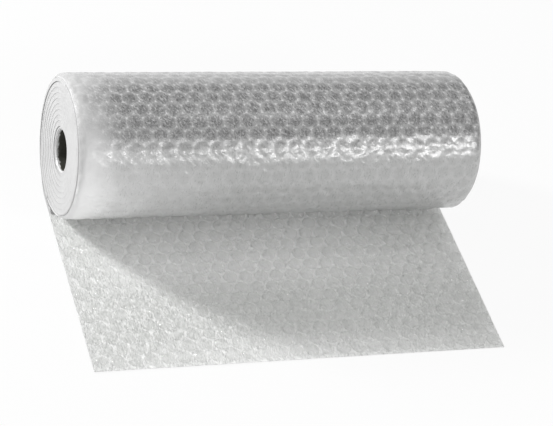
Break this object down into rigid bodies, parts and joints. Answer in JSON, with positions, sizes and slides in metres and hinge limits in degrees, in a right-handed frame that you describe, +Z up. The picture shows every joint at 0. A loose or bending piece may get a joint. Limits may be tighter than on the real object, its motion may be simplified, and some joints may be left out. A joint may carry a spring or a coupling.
{
  "type": "bubble wrap roll",
  "caption": "Small roll of clear air-bubble packing film lying on its side, with its free end pulled out flat in front.",
  "frame": {"origin": "on the surface that the roll rests on, below the roll's axis, halfway along the leaf's width", "axes": "+X along the roll's axis, +Y from the leaf to the roll's back, +Z up"},
  "size_m": [0.3015, 0.21, 0.102],
  "materials": {
    "film": "clear glossy polyethylene film, seen as pale grey"
  },
  "bodies": {
    "root": {"bubble_wrap": "film"}
  },
  "joints": []
}
